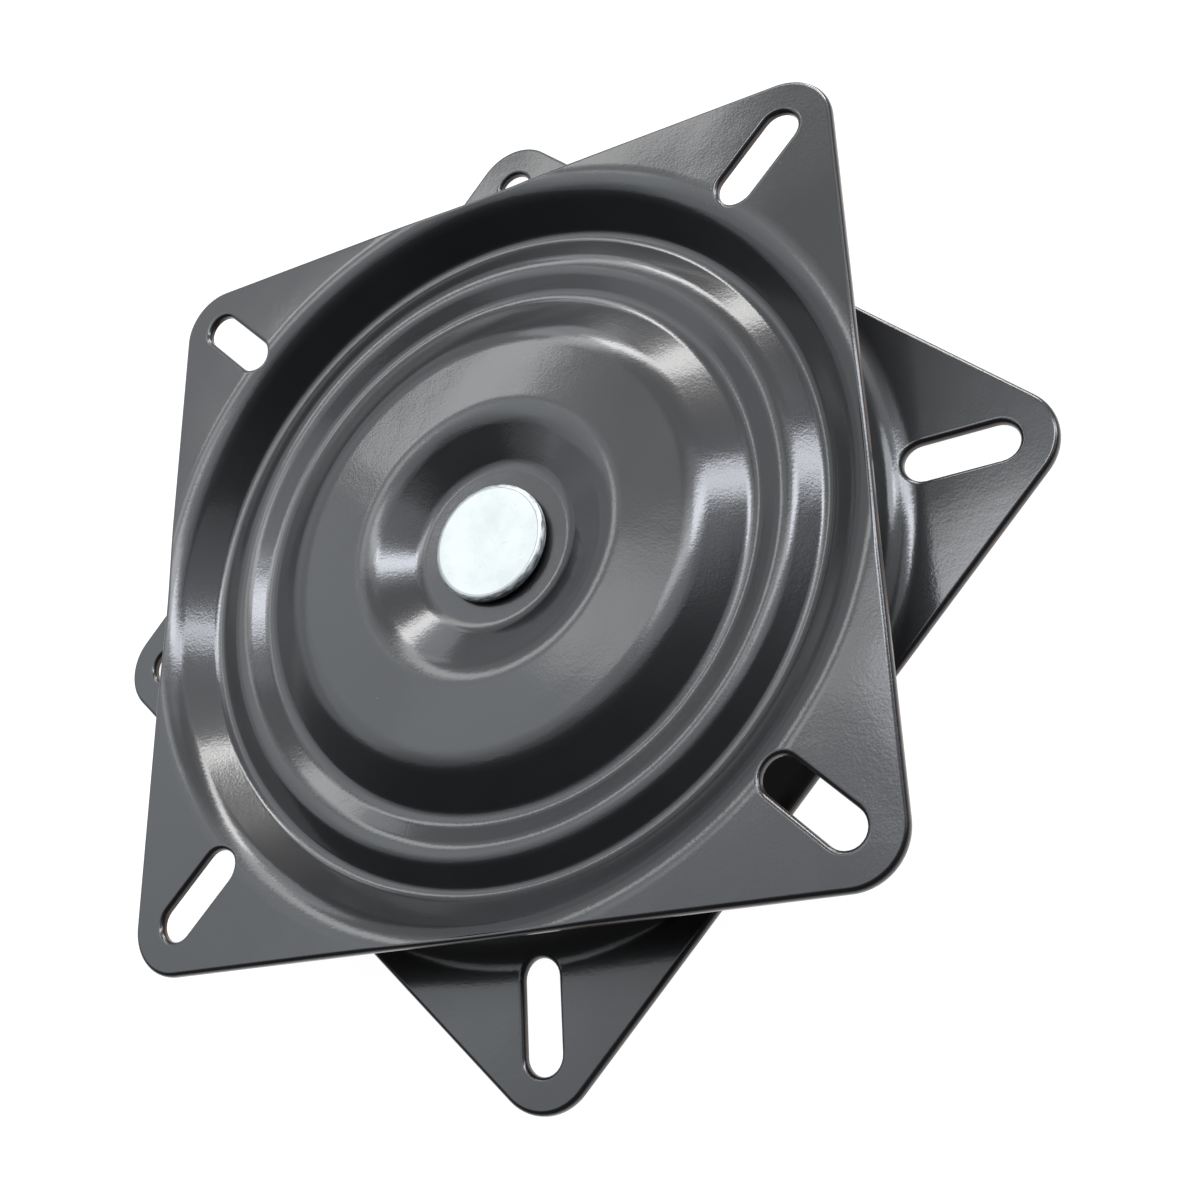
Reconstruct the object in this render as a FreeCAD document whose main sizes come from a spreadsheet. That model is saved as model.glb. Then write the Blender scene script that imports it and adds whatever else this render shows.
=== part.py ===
import FreeCAD, Part
import math
import os

import Sketcher

# Seat swivel plate: two square pressed plates that turn on each other over a ring of caged balls,
# held together by one rivet. Millimetres and degrees. Z is the swivel axis, Z = 0 is the mounting
# face of the bottom plate, and X runs through two opposite corners of that plate.

os.makedirs("parts", exist_ok=True)
doc = FreeCAD.newDocument("seat_swivel_plate")

# Driving sizes. In the dish, an edge is where a flat ends or a bend has its lowest or highest point, a
# run is the width from one edge to the next, and a bend is the radius inside the fold.
DRIVING_SIZES = [
    # whole part
    ("overall_height", 25.4),
    ("rest_turn", 43.7),
    # outline of each plate
    ("plate_side", 178.0),
    ("corner_radius", 12.0),
    ("sheet_thickness", 2.0),
    ("slot_length", 23.9),
    ("slot_width", 8.4),
    ("slot_margin", 7.6),
    # dish of each plate, from the rivet outwards
    ("floor_margin", 3.0),
    ("floor_bend", 7.0),
    ("dimple_run", 16.2),
    ("shelf_rise", 5.5),
    ("shelf_fall", 0.6),
    ("shelf_inner_bend", 12.0),
    ("shelf_outer_bend", 14.5),
    ("flank_run", 15.4),
    ("inner_valley_bend", 4.8),
    ("outer_valley_bend", 3.0),
    ("wall_run", 14.4),
    ("rim_bend", 8.5),
    # ball race
    ("track_inset", 19.0),
    ("race_half_width", 7.6),
    ("bead_height", 2.35),
    ("ball_count", 24),
    ("ball_diameter", 7.94),
    ("race_clearance", 0.05),
    ("groove_ease", 0.9),
    ("pocket_clearance", 0.15),
    ("cage_width", 10.4),
    ("cage_thickness", 2.8),
    ("cage_edge_round", 0.8),
    # rivet, the washers under its two ends, and the spacer between the plates
    ("rivet_diameter", 12.0),
    ("rivet_clearance", 0.08),
    ("head_diameter", 27.2),
    ("head_height", 2.2),
    ("head_round", 0.6),
    ("tail_diameter", 18.0),
    ("tail_height", 3.2),
    ("tail_round", 2.2),
    ("head_washer_diameter", 24.0),
    ("head_washer_thickness", 0.5),
    ("tail_washer_diameter", 26.0),
    ("tail_washer_thickness", 1.6),
    ("tail_washer_round", 0.4),
    ("spacer_diameter", 30.0),
    ("spacer_thickness", 3.2),
    ("spacer_round", 0.5),
]

sizes = doc.addObject("Spreadsheet::Sheet", "Sizes")
for row, (alias, number) in enumerate(DRIVING_SIZES, start=1):
    sizes.set(f"A{row}", alias)
    sizes.set(f"B{row}", str(number))
    sizes.setAlias(f"B{row}", alias)
doc.recompute()

# Fits: what follows from the driving sizes. Depths are measured down from the corner flats.
FITS = [
    # outline: half the corner to corner width, the centres of the round corners, and the slots, which
    # keep a margin of metal to the corner's tip
    ("corner_reach", "Sizes.plate_side / sqrt(2)"),
    ("corner_centre", "Sizes.plate_side / sqrt(2) - Sizes.corner_radius * sqrt(2)"),
    ("trim_radius", "Sizes.plate_side"),
    ("slot_end_radius", "Sizes.slot_width / 2"),
    ("slot_outer_centre", "corner_centre + Sizes.corner_radius - Sizes.slot_margin - slot_end_radius"),
    ("slot_inner_centre", "slot_outer_centre - Sizes.slot_length + Sizes.slot_width"),
    # race: the groove under each crest is a little wider than a ball and stands one clearance off it
    ("track_radius", "Sizes.plate_side / 2 - Sizes.track_inset"),
    ("ball_radius", "Sizes.ball_diameter / 2"),
    ("groove_bend", "ball_radius + Sizes.groove_ease"),
    ("mid_height", "Sizes.overall_height / 2"),
    ("crest_depth", "mid_height - Sizes.sheet_thickness - ball_radius - Sizes.race_clearance"),
    ("valley_depth", "crest_depth + Sizes.bead_height"),
    ("inner_valley_radius", "track_radius - Sizes.race_half_width"),
    ("outer_valley_radius", "track_radius + Sizes.race_half_width"),
    # dish: the floor carries the spacer, and the wall and the flank run to the valleys of the race
    ("floor_depth", "mid_height - Sizes.sheet_thickness - Sizes.spacer_thickness / 2"),
    ("floor_radius", "Sizes.spacer_diameter / 2 + Sizes.floor_margin"),
    ("shelf_inner_depth", "floor_depth - Sizes.shelf_rise"),
    ("shelf_outer_depth", "shelf_inner_depth + Sizes.shelf_fall"),
    ("shelf_inner_radius", "floor_radius + Sizes.dimple_run"),
    ("shelf_outer_radius", "inner_valley_radius - Sizes.flank_run"),
    ("rim_radius", "outer_valley_radius + Sizes.wall_run"),
    # cage, drawn about the middle of the balls
    ("cage_inner_radius", "track_radius - Sizes.cage_width / 2"),
    ("cage_outer_radius", "track_radius + Sizes.cage_width / 2"),
    ("cage_top", "Sizes.cage_thickness / 2"),
    ("cage_bottom", "-Sizes.cage_thickness / 2"),
    ("pocket_radius", "ball_radius + Sizes.pocket_clearance"),
    # heights of the pieces that the rivet clamps
    ("head_washer_height", "Sizes.overall_height - floor_depth"),
    ("head_underside_height", "head_washer_height + Sizes.head_washer_thickness"),
    ("spacer_height", "floor_depth + Sizes.sheet_thickness"),
    ("tail_washer_height", "floor_depth - Sizes.tail_washer_thickness"),
    # rivet, drawn down from the underside of its head
    ("rivet_radius", "Sizes.rivet_diameter / 2"),
    ("rivet_hole_radius", "rivet_radius + Sizes.rivet_clearance"),
    ("head_radius", "Sizes.head_diameter / 2"),
    ("tail_radius", "Sizes.tail_diameter / 2"),
    ("tail_start", "tail_washer_height - head_underside_height"),
    ("tail_end", "tail_start - Sizes.tail_height"),
    ("head_washer_radius", "Sizes.head_washer_diameter / 2"),
    ("tail_washer_radius", "Sizes.tail_washer_diameter / 2"),
    ("spacer_radius", "Sizes.spacer_diameter / 2"),
]

fits = doc.addObject("App::VarSet", "Fits")
for name, expression in FITS:
    fits.addProperty("App::PropertyFloat", name, "Fits")
    fits.setExpression(name, expression)
doc.recompute()


def value(name):
    """The number behind a name such as Sizes.plate_side or Fits.crest_depth."""
    owner, alias = name.split(".")
    return float(getattr(doc.getObject(owner), alias))


# Sketching


START, END, CENTRE = range(1, 4)
X_AXIS, Y_AXIS = range(-1, -3, -1)
ORIGIN = X_AXIS
QUARTER_TURN, FULL_TURN = 90.0, 360.0
CORNERS = 4


def new_body(name):
    """A body whose label names its file."""
    body = doc.addObject("PartDesign::Body", name)
    body.Label = name
    return body


def origin_feature(body, role):
    """The plane or axis of the body's own origin that has this role."""
    return next(feature for feature in body.Origin.OriginFeatures if feature.Role == role)


def new_sketch(body, name, plane_role):
    """A sketch on one of the body's origin planes."""
    sketch = body.newObject("Sketcher::SketchObject", name)
    sketch.AttachmentSupport = [(origin_feature(body, plane_role), "")]
    sketch.MapMode = "FlatFace"
    return sketch


def add_line(sketch, first, second):
    start, end = FreeCAD.Vector(*first, 0), FreeCAD.Vector(*second, 0)
    return sketch.addGeometry(Part.LineSegment(start, end), False)


def add_arc(sketch, centre, radius, start_angle, end_angle):
    """An arc that runs anticlockwise between two angles in degrees."""
    circle = Part.Circle(FreeCAD.Vector(*centre, 0), FreeCAD.Vector(0, 0, 1), radius)
    arc = Part.ArcOfCircle(circle, math.radians(start_angle), math.radians(end_angle))
    return sketch.addGeometry(arc, False)


def fix(sketch, *constraint):
    sketch.addConstraint(Sketcher.Constraint(*constraint))


def bind(sketch, expression, *constraint):
    """A dimension that follows an expression."""
    index = sketch.addConstraint(Sketcher.Constraint(*constraint))
    sketch.setExpression(f"Constraints[{index}]", expression)


def bind_x(sketch, expression, number, geometry, position):
    bind(sketch, expression, "DistanceX", ORIGIN, START, geometry, position, number)


def bind_y(sketch, expression, number, geometry, position):
    bind(sketch, expression, "DistanceY", ORIGIN, START, geometry, position, number)


def turned_section(sketch, corners):
    """Closed section of a turned piece, drawn anticlockwise with level and upright edges only.

    Each corner is (radius name or None on the axis, height name or None at zero, round name or None).
    """
    points = [tuple(value(name) if name else 0.0 for name in corner[:2]) for corner in corners]
    rounds = [value(corner[2]) if corner[2] else 0.0 for corner in corners]
    count = len(corners)

    def direction(index):
        (x1, y1), (x2, y2) = points[index % count], points[(index + 1) % count]
        length = math.hypot(x2 - x1, y2 - y1)
        return (x2 - x1) / length, (y2 - y1) / length

    def along(index, side, distance):
        x, y = points[index % count]
        dx, dy = direction(side)
        return x + dx * distance, y + dy * distance

    edges = []
    for index in range(count):
        first = along(index, index, rounds[index])
        second = along(index + 1, index, -rounds[(index + 1) % count])
        edges.append(add_line(sketch, first, second))
    for index, (radius_name, height_name, _) in enumerate(corners):
        next_radius_name = corners[(index + 1) % count][0]
        if radius_name == next_radius_name:
            fix(sketch, "Vertical", edges[index])
            if radius_name:
                bind_x(sketch, radius_name, points[index][0], edges[index], START)
            else:
                fix(sketch, "PointOnObject", edges[index], START, Y_AXIS)
        else:
            fix(sketch, "Horizontal", edges[index])
            if height_name:
                bind_y(sketch, height_name, points[index][1], edges[index], START)
            else:
                fix(sketch, "PointOnObject", edges[index], START, X_AXIS)

    for index, (_, _, round_name) in enumerate(corners):
        before, after = edges[index - 1], edges[index]
        if not round_name:
            fix(sketch, "Coincident", before, END, after, START)
            continue
        radius = rounds[index]
        in_x, in_y = direction(index - 1)
        out_x, out_y = direction(index)
        x, y = points[index]
        centre = x - in_x * radius + out_x * radius, y - in_y * radius + out_y * radius
        entry = math.degrees(math.atan2(-out_y, -out_x))
        turns_left = in_x * out_y - in_y * out_x > 0
        if turns_left:
            arc = add_arc(sketch, centre, radius, entry, entry + QUARTER_TURN)
            arc_in, arc_out = START, END
        else:
            arc = add_arc(sketch, centre, radius, entry - QUARTER_TURN, entry)
            arc_in, arc_out = END, START
        fix(sketch, "Tangent", before, END, arc, arc_in)
        fix(sketch, "Tangent", arc, arc_out, after, START)
        bind(sketch, round_name, "Radius", arc, radius)


def revolve(body, sketch):
    """The sketch turned once round the body's Z axis."""
    solid = body.newObject("PartDesign::Revolution", f"{body.Name}_turning")
    solid.Profile = sketch
    solid.ReferenceAxis = (sketch, ["V_Axis"])
    solid.Angle = FULL_TURN
    return solid


def turned_body(name, corners, height_name):
    """A turned piece whose own zero stands at a named height on the swivel axis."""
    body = new_body(name)
    sketch = new_sketch(body, f"{name}_section", "XZ_Plane")
    turned_section(sketch, corners)
    revolve(body, sketch)
    body.setExpression("Placement.Base.z", height_name)
    return body


# Pressed plates: one pressing, used twice. Its own zero is the outer face of the corner flats, the
# dish goes down from there, and its corners lie on its X and Y axes.


PRESSING_BENDS = [
    # radius where the bend lies, depth of the face there, radius inside the fold, which way it folds
    ("Fits.floor_radius", "Fits.floor_depth", "Sizes.floor_bend", "valley"),
    ("Fits.shelf_inner_radius", "Fits.shelf_inner_depth", "Sizes.shelf_inner_bend", "hump"),
    ("Fits.shelf_outer_radius", "Fits.shelf_outer_depth", "Sizes.shelf_outer_bend", "hump"),
    ("Fits.inner_valley_radius", "Fits.valley_depth", "Sizes.inner_valley_bend", "valley"),
    ("Fits.track_radius", "Fits.crest_depth", "Fits.groove_bend", "hump"),
    ("Fits.outer_valley_radius", "Fits.valley_depth", "Sizes.outer_valley_bend", "valley"),
    ("Fits.rim_radius", None, "Sizes.rim_bend", "hump"),
]


def slope_between(first, second):
    """Angle of the straight flank that touches two bends, each a centre and a signed radius."""
    (x1, y1, r1), (x2, y2, r2) = first, second
    reach = math.hypot(x2 - x1, y2 - y1)
    return math.atan2(y2 - y1, x2 - x1) - math.asin((r1 - r2) / reach)


def touch(bend, slope):
    """Where a flank of this slope touches the bend."""
    x, y, radius = bend
    return x - radius * math.sin(slope), y + radius * math.cos(slope)


def sheet_face(sketch, bends, inner_radius, outer_radius):
    """One face of the sheet: level at both ends, with tangent bends and straight flanks between."""
    slopes = [0.0] + [slope_between(a, b) for a, b in zip(bends, bends[1:])] + [0.0]
    first_point = inner_radius, touch(bends[0], 0.0)[1]
    last_point = outer_radius, touch(bends[-1], 0.0)[1]
    starts = [first_point] + [touch(bend, slope) for bend, slope in zip(bends, slopes[1:])]
    ends = [touch(bend, slope) for bend, slope in zip(bends, slopes)] + [last_point]
    lines = [add_line(sketch, first, second) for first, second in zip(starts, ends)]
    arcs = []
    for index, (x, y, radius) in enumerate(bends):
        before, after = math.degrees(slopes[index]), math.degrees(slopes[index + 1])
        if radius > 0:
            arc = add_arc(sketch, (x, y), radius, QUARTER_TURN + after, QUARTER_TURN + before)
            arc_in, arc_out = END, START
        else:
            arc = add_arc(sketch, (x, y), -radius, before - QUARTER_TURN, after - QUARTER_TURN)
            arc_in, arc_out = START, END
        fix(sketch, "Tangent", lines[index], END, arc, arc_in)
        fix(sketch, "Tangent", arc, arc_out, lines[index + 1], START)
        arcs.append(arc)
    fix(sketch, "Horizontal", lines[0])
    fix(sketch, "Horizontal", lines[-1])
    return lines, arcs


def pressing_section(sketch):
    """Section of the sheet from the rivet hole to past the corners, the same thickness all along."""
    thickness = value("Sizes.sheet_thickness")
    outer_bends, inner_bends, names = [], [], []
    for radius_name, depth_name, fold_name, fold in PRESSING_BENDS:
        depth = value(depth_name) if depth_name else 0.0
        depth_term = f"-{depth_name}" if depth_name else "0"
        if fold == "hump":
            sign, word = 1, "-"
            outer = value(fold_name) + thickness
            outer_name, inner_name = f"{fold_name} + Sizes.sheet_thickness", fold_name
        else:
            sign, word = -1, "+"
            outer = value(fold_name)
            outer_name, inner_name = fold_name, f"{fold_name} + Sizes.sheet_thickness"
        names.append((radius_name, f"{depth_term} {word} ({outer_name})", outer_name, inner_name))
        x, y = value(radius_name), -depth - sign * outer
        outer_bends.append((x, y, sign * outer))
        inner_bends.append((x, y, sign * outer - thickness))

    hole, reach = value("Fits.rivet_hole_radius"), value("Fits.corner_reach")
    outer_lines, outer_arcs = sheet_face(sketch, outer_bends, hole, reach)
    inner_lines, inner_arcs = sheet_face(sketch, inner_bends, hole, reach)
    for index, (radius_name, centre_term, outer_name, inner_name) in enumerate(names):
        x, y, radius = outer_bends[index]
        outer_arc, inner_arc = outer_arcs[index], inner_arcs[index]
        bind_x(sketch, radius_name, x, outer_arc, CENTRE)
        bind_y(sketch, centre_term, y, outer_arc, CENTRE)
        bind(sketch, outer_name, "Radius", outer_arc, abs(radius))
        fix(sketch, "Coincident", inner_arc, CENTRE, outer_arc, CENTRE)
        bind(sketch, inner_name, "Radius", inner_arc, abs(inner_bends[index][2]))

    for end, position, name, number in (
        (0, START, "Fits.rivet_hole_radius", hole),
        (-1, END, "Fits.corner_reach", reach),
    ):
        face_y = touch(outer_bends[end], 0.0)[1]
        back_y = touch(inner_bends[end], 0.0)[1]
        cap = add_line(sketch, (number, face_y), (number, back_y))
        fix(sketch, "Vertical", cap)
        fix(sketch, "Coincident", cap, START, outer_lines[end], position)
        fix(sketch, "Coincident", cap, END, inner_lines[end], position)
        bind_x(sketch, name, number, outer_lines[end], position)


def trim_section(sketch):
    """What is cut off round the plate: from its square outline with round corners outwards."""
    reach, radius = value("Fits.corner_centre"), value("Sizes.corner_radius")
    corners = []
    for quarter in range(CORNERS):
        angle = quarter * QUARTER_TURN
        x, y = reach * math.cos(math.radians(angle)), reach * math.sin(math.radians(angle))
        arc = add_arc(sketch, (x, y), radius, angle - QUARTER_TURN / 2, angle + QUARTER_TURN / 2)
        sign = "" if quarter < 2 else "-"
        if quarter % 2 == 0:
            fix(sketch, "PointOnObject", arc, CENTRE, X_AXIS)
            bind_x(sketch, f"{sign}Fits.corner_centre", x, arc, CENTRE)
        else:
            fix(sketch, "PointOnObject", arc, CENTRE, Y_AXIS)
            bind_y(sketch, f"{sign}Fits.corner_centre", y, arc, CENTRE)
        bind(sketch, "Sizes.corner_radius", "Radius", arc, radius)
        corners.append((arc, x, y, angle + QUARTER_TURN / 2))
    for index, (arc, x, y, angle) in enumerate(corners):
        next_arc, next_x, next_y, _ = corners[(index + 1) % len(corners)]
        out_x, out_y = radius * math.cos(math.radians(angle)), radius * math.sin(math.radians(angle))
        side = add_line(sketch, (x + out_x, y + out_y), (next_x + out_x, next_y + out_y))
        fix(sketch, "Tangent", arc, END, side, START)
        fix(sketch, "Tangent", side, END, next_arc, START)

    rim_radius = value("Fits.trim_radius")
    circle = Part.Circle(FreeCAD.Vector(0, 0, 0), FreeCAD.Vector(0, 0, 1), rim_radius)
    rim = sketch.addGeometry(circle, False)
    fix(sketch, "Coincident", rim, CENTRE, ORIGIN, START)
    bind(sketch, "Fits.trim_radius", "Radius", rim, rim_radius)


def slot_section(sketch):
    """A slot with round ends that runs out along the plate's diagonal."""
    inner, outer = value("Fits.slot_inner_centre"), value("Fits.slot_outer_centre")
    radius = value("Fits.slot_end_radius")
    inner_end = add_arc(sketch, (inner, 0.0), radius, QUARTER_TURN, 3 * QUARTER_TURN)
    outer_end = add_arc(sketch, (outer, 0.0), radius, -QUARTER_TURN, QUARTER_TURN)
    lower_side = add_line(sketch, (inner, -radius), (outer, -radius))
    upper_side = add_line(sketch, (outer, radius), (inner, radius))
    fix(sketch, "Tangent", inner_end, END, lower_side, START)
    fix(sketch, "Tangent", lower_side, END, outer_end, START)
    fix(sketch, "Tangent", outer_end, END, upper_side, START)
    fix(sketch, "Tangent", upper_side, END, inner_end, START)
    for arc, name, number in (
        (inner_end, "Fits.slot_inner_centre", inner),
        (outer_end, "Fits.slot_outer_centre", outer),
    ):
        fix(sketch, "PointOnObject", arc, CENTRE, X_AXIS)
        bind_x(sketch, name, number, arc, CENTRE)
    bind(sketch, "Fits.slot_end_radius", "Radius", inner_end, radius)


def cut_through(body, sketch, name):
    """The sketch cut down from the outer face through the whole pressing."""
    pocket = body.newObject("PartDesign::Pocket", name)
    pocket.Profile = sketch
    pocket.Type = "ThroughAll"
    return pocket


def repeat_round_axis(body, feature, count, name):
    pattern = body.newObject("PartDesign::PolarPattern", name)
    pattern.Originals = [feature]
    pattern.Axis = (origin_feature(body, "Z_Axis"), [""])
    pattern.Angle = FULL_TURN
    pattern.Occurrences = count
    body.Tip = pattern
    return pattern


def pressed_plate(name):
    """A square of sheet with a dish, a bead that is the ball track, and a slot in each corner."""
    body = new_body(name)
    section = new_sketch(body, f"{name}_section", "XZ_Plane")
    pressing_section(section)
    revolve(body, section)
    outline = new_sketch(body, f"{name}_outline", "XY_Plane")
    trim_section(outline)
    cut_through(body, outline, f"{name}_trimming")
    slot = new_sketch(body, f"{name}_slot_shape", "XY_Plane")
    slot_section(slot)
    pocket = cut_through(body, slot, f"{name}_slot")
    repeat_round_axis(body, pocket, CORNERS, f"{name}_slots")
    return body


bottom_plate = pressed_plate("bottom_plate")
bottom_plate.Placement = FreeCAD.Placement(
    FreeCAD.Vector(0, 0, 0), FreeCAD.Rotation(FreeCAD.Vector(1, 0, 0), FULL_TURN / 2)
)

top_plate = pressed_plate("top_plate")
top_plate.setExpression("Placement.Base.z", "Sizes.overall_height")
top_plate.setExpression("Placement.Rotation.Angle", "Sizes.rest_turn")


# Rivet, washers and spacer


centre_rivet = turned_body(
    "centre_rivet",
    [
        (None, "Fits.tail_end", None),
        ("Fits.tail_radius", "Fits.tail_end", "Sizes.tail_round"),
        ("Fits.tail_radius", "Fits.tail_start", None),
        ("Fits.rivet_radius", "Fits.tail_start", None),
        ("Fits.rivet_radius", None, None),
        ("Fits.head_radius", None, "Sizes.head_round"),
        ("Fits.head_radius", "Sizes.head_height", "Sizes.head_round"),
        (None, "Sizes.head_height", None),
    ],
    "Fits.head_underside_height",
)


def ring_corners(outer_name, thickness_name, round_name):
    """Section of a ring that fits round the rivet, with its outer corners rounded or sharp."""
    return [
        ("Fits.rivet_hole_radius", None, None),
        (outer_name, None, round_name),
        (outer_name, thickness_name, round_name),
        ("Fits.rivet_hole_radius", thickness_name, None),
    ]


head_washer = turned_body(
    "head_washer",
    ring_corners("Fits.head_washer_radius", "Sizes.head_washer_thickness", None),
    "Fits.head_washer_height",
)
spacer_washer = turned_body(
    "spacer_washer",
    ring_corners("Fits.spacer_radius", "Sizes.spacer_thickness", "Sizes.spacer_round"),
    "Fits.spacer_height",
)
tail_washer = turned_body(
    "tail_washer",
    ring_corners("Fits.tail_washer_radius", "Sizes.tail_washer_thickness", "Sizes.tail_washer_round"),
    "Fits.tail_washer_height",
)


# Ball cage: a ring with a round pocket for each ball, closed in above and below so that the cage
# hangs on the balls at mid height


ball_count = int(value("Sizes.ball_count"))

ball_cage = turned_body(
    "ball_cage",
    [
        ("Fits.cage_inner_radius", "Fits.cage_bottom", "Sizes.cage_edge_round"),
        ("Fits.cage_outer_radius", "Fits.cage_bottom", "Sizes.cage_edge_round"),
        ("Fits.cage_outer_radius", "Fits.cage_top", "Sizes.cage_edge_round"),
        ("Fits.cage_inner_radius", "Fits.cage_top", "Sizes.cage_edge_round"),
    ],
    "Fits.mid_height",
)


def pocket_section(sketch):
    """Half of a circle about the ball's centre, with the ball's upright axis as its straight side."""
    x, radius = value("Fits.track_radius"), value("Fits.pocket_radius")
    bow = add_arc(sketch, (x, 0.0), radius, -QUARTER_TURN, QUARTER_TURN)
    side = add_line(sketch, (x, radius), (x, -radius))
    fix(sketch, "Coincident", bow, END, side, START)
    fix(sketch, "Coincident", side, END, bow, START)
    fix(sketch, "Vertical", side)
    fix(sketch, "PointOnObject", bow, CENTRE, side)
    fix(sketch, "PointOnObject", bow, CENTRE, X_AXIS)
    bind_x(sketch, "Fits.track_radius", x, bow, CENTRE)
    bind(sketch, "Fits.pocket_radius", "Radius", bow, radius)


pocket_sketch = new_sketch(ball_cage, "ball_pocket_section", "XZ_Plane")
pocket_section(pocket_sketch)
doc.recompute()
pocket = ball_cage.newObject("PartDesign::Groove", "ball_pocket")
pocket.Profile = pocket_sketch
pocket.ReferenceAxis = (pocket_sketch, ["Edge2"])
pocket.Angle = FULL_TURN
repeat_round_axis(ball_cage, pocket, ball_count, "ball_pockets")


# Balls


balls = []
for number in range(ball_count):
    ball = doc.addObject("Part::Sphere", f"ball_{number + 1:02d}")
    ball.Label = ball.Name
    turn = f"{number} * {FULL_TURN} / Sizes.ball_count"
    ball.setExpression("Radius", "Fits.ball_radius")
    ball.setExpression("Placement.Base.x", f"Fits.track_radius * cos({turn})")
    ball.setExpression("Placement.Base.y", f"Fits.track_radius * sin({turn})")
    ball.setExpression("Placement.Base.z", "Fits.mid_height")
    balls.append(ball)


# Build, check and write


doc.recompute()
for item in doc.Objects:
    if "Invalid" in item.State or "Error" in item.State:
        raise RuntimeError(f"{item.Label} did not build: {item.State}")

sub_parts = [bottom_plate, top_plate, centre_rivet, head_washer, spacer_washer, tail_washer]
sub_parts += [ball_cage] + balls
for sub_part in sub_parts:
    shape = sub_part.Shape
    if shape.isNull() or not shape.isValid() or len(shape.Solids) != 1:
        raise RuntimeError(f"{sub_part.Label} is not one sound solid")

# each cut has to take material away
for body in (bottom_plate, top_plate, ball_cage):
    solids = [item for item in body.Group if hasattr(item, "Shape") and item.Shape.Solids]
    volumes = [item.Shape.Volume for item in solids]
    if any(after >= before for before, after in zip(volumes, volumes[1:])):
        raise RuntimeError(f"a cut in {body.Label} takes nothing away")

for sub_part in sub_parts:
    sub_part.Shape.exportStep(f"parts/{sub_part.Label}.step")
    print(sub_part.Label, round(sub_part.Shape.Volume, 1))
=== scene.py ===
import math

import bpy
import numpy as np
from mathutils import Matrix, Vector, geometry


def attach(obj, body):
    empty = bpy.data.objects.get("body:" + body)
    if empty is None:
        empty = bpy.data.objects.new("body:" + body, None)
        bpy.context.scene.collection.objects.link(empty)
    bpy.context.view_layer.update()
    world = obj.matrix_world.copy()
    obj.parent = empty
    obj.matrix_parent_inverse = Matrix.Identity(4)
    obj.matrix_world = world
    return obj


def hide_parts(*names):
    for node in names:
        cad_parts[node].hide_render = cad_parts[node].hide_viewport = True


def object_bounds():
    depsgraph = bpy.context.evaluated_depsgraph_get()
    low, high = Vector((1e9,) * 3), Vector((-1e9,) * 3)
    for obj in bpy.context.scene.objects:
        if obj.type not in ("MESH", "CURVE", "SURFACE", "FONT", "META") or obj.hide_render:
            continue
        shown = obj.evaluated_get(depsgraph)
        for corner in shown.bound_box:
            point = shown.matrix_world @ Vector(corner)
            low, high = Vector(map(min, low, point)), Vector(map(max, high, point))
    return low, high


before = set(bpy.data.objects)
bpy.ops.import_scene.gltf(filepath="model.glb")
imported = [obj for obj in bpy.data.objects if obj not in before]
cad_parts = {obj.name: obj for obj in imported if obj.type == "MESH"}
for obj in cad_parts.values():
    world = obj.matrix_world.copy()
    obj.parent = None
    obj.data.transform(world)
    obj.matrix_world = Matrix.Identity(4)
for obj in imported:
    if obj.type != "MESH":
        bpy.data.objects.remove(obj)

# Seat swivel plate: two black pressed plates on a caged ball race, with a bright rivet in the middle.
# Everything is in metres, in the frame of the CAD model: Z is the swivel axis, Z = 0 the lower face.


def box_corners():
    """The whole model's box as two plain lists."""
    return [list(corner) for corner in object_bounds()]


CAD_BOX = box_corners()
OVERALL_HEIGHT = CAD_BOX[1][2]
MID_HEIGHT = OVERALL_HEIGHT / 2

# Pressing
PLATE_SIDE = 0.178
CORNER_RADIUS = 0.012
THICKNESS = 0.002
REST_TURN = math.radians(43.7)
SLOT_LENGTH = 0.0239
SLOT_WIDTH = 0.0084
SLOT_MARGIN = 0.0076
RIVET_HOLE_RADIUS = 0.00608
# The edge of the face that the punch enters is rolled over, and the other is nearly sharp. It is the
# upper face of both plates, so the outer face of the upper one and the inner face of the lower one.
ROLLED_EDGE = 0.0011
SHARP_EDGE = 0.0003

# Dish: where each bend lies, how deep its face is there, the radius inside the fold, and its way
TRACK_RADIUS = PLATE_SIDE / 2 - 0.019
RACE_HALF_WIDTH = 0.0076
BALL_RADIUS = 0.00397
CREST_DEPTH = MID_HEIGHT - THICKNESS - BALL_RADIUS - 0.00005
VALLEY_DEPTH = CREST_DEPTH + 0.00235
FLOOR_DEPTH = MID_HEIGHT - THICKNESS - 0.0016
SHELF_INNER_DEPTH = FLOOR_DEPTH - 0.0055
SHELF_OUTER_DEPTH = SHELF_INNER_DEPTH + 0.0006
FLOOR_RADIUS = 0.018
SHELF_INNER_RADIUS = FLOOR_RADIUS + 0.0162
INNER_VALLEY_RADIUS = TRACK_RADIUS - RACE_HALF_WIDTH
OUTER_VALLEY_RADIUS = TRACK_RADIUS + RACE_HALF_WIDTH
SHELF_OUTER_RADIUS = INNER_VALLEY_RADIUS - 0.0154
RIM_RADIUS = OUTER_VALLEY_RADIUS + 0.0144
PRESSING_BENDS = [
    (FLOOR_RADIUS, FLOOR_DEPTH, 0.007, "valley"),
    (SHELF_INNER_RADIUS, SHELF_INNER_DEPTH, 0.012, "hump"),
    (SHELF_OUTER_RADIUS, SHELF_OUTER_DEPTH, 0.0145, "hump"),
    (INNER_VALLEY_RADIUS, VALLEY_DEPTH, 0.0048, "valley"),
    (TRACK_RADIUS, CREST_DEPTH, BALL_RADIUS + 0.0009, "hump"),
    (OUTER_VALLEY_RADIUS, VALLEY_DEPTH, 0.003, "valley"),
    (RIM_RADIUS, 0.0, 0.0085, "hump"),
]

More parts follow.
